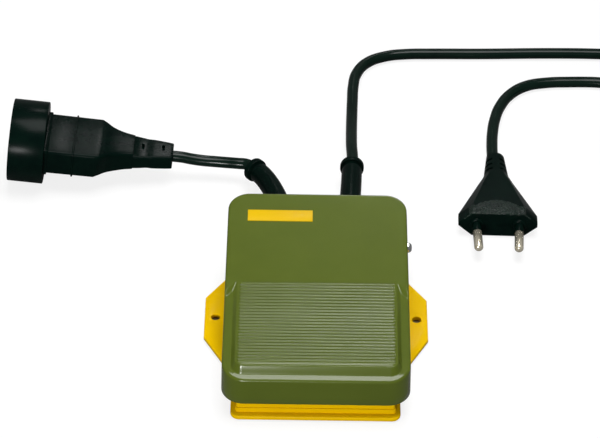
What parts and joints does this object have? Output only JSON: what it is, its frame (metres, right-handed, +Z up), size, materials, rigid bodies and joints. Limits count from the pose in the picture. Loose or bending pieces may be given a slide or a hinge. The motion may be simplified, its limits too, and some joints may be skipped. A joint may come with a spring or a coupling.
{
  "type": "foot switch",
  "caption": "Mains foot switch: ribbed rocking pedal cover on a screw-down base, with a supply lead ending in a flat plug and a short output lead ending in a coupling.",
  "frame": {"origin": "on the floor under the middle of the base, with the leads and what is on them left out", "axes": "+Z up, -Y towards the foot (the low front edge of the pedal), +Y towards the leads, +X to the right seen from the front"},
  "size_m": [0.3873, 0.2577, 0.0385],
  "materials": {
    "base_plastic": "glossy yellow moulding",
    "cover_plastic": "glossy olive green moulding",
    "label": "bare yellow plate",
    "foot_rubber": "matt black rubber",
    "bright_screw": "bright plated",
    "steel": "plain steel",
    "brass": "turned brass",
    "nickel": "nickel plated brass",
    "switch_plastic": "dark grey moulding",
    "plunger_plastic": "red moulding",
    "block_plastic": "white moulding",
    "lead_plastic": "green-black flexible sheath",
    "moulded_black": "green-black soft moulding"
  },
  "bodies": {
    "base": {"base_tray": "base_plastic", "rubber_foot_1": "foot_rubber", "rubber_foot_2": "foot_rubber", "rubber_foot_3": "foot_rubber", "rubber_foot_4": "foot_rubber", "pivot_screw": "bright_screw", "pivot_pin": "steel", "return_spring": "steel", "switch_case": "switch_plastic", "switch_terminal_common": "brass", "switch_terminal_closed": "brass", "switch_terminal_open": "brass", "switch_screw_1": "steel", "switch_screw_2": "steel", "terminal_block": "block_plastic", "block_screw_1": "brass", "block_screw_2": "brass", "block_screw_3": "brass", "block_screw_4": "brass", "output_clamp": "moulded_black", "supply_clamp": "moulded_black", "clamp_screw_1": "steel", "clamp_screw_2": "steel", "clamp_screw_3": "steel", "clamp_screw_4": "steel", "output_cord_end": "lead_plastic", "supply_cord_end": "lead_plastic", "supply_boot": "moulded_black", "output_boot": "moulded_black", "supply_cord": "lead_plastic", "supply_coil": "lead_plastic", "supply_cord_to_plug": "lead_plastic", "output_cord": "lead_plastic", "plug_body": "moulded_black", "plug_pin_left": "nickel", "plug_pin_right": "nickel", "pin_sleeve_left": "moulded_black", "pin_sleeve_right": "moulded_black", "coupling_body": "moulded_black", "coupling_insert": "switch_plastic", "contact_sleeve_left": "brass", "contact_sleeve_right": "brass"},
    "pedal": {"pedal_cover": "cover_plastic", "cover_label": "label"},
    "lever": {"switch_lever": "steel"},
    "plunger": {"switch_plunger": "plunger_plastic"}
  },
  "joints": [
    {"name": "pedal_pivot", "type": "hinge", "parent": "base", "child": "pedal", "pos_m": [0, 0.036, 0.02], "axis": [1, 0, 0], "range_deg": [0, 3], "stiffness_Nm_per_rad": 6, "springref_deg": -3.44, "deforming": ["return_spring"]},
    {"name": "lever_hinge", "type": "hinge", "parent": "base", "child": "lever", "pos_m": [0, 0.0036, 0.0221], "axis": [1, 0, 0], "range_deg": [0, 6.7], "stiffness_Nm_per_rad": 0.02, "springref_deg": -5.73},
    {"name": "plunger_slide", "type": "slide", "parent": "base", "child": "plunger", "axis": [0, 0, -1], "range_m": [0, 0.00072], "stiffness_N_per_m": 5, "springref_m": -0.001}
  ],
  "couplings": [
    {"joint": "lever_hinge", "follows": "pedal_pivot", "ratio": 2.2},
    {"joint": "plunger_slide", "follows": "pedal_pivot", "m_per_rad": 0.01337}
  ]
}
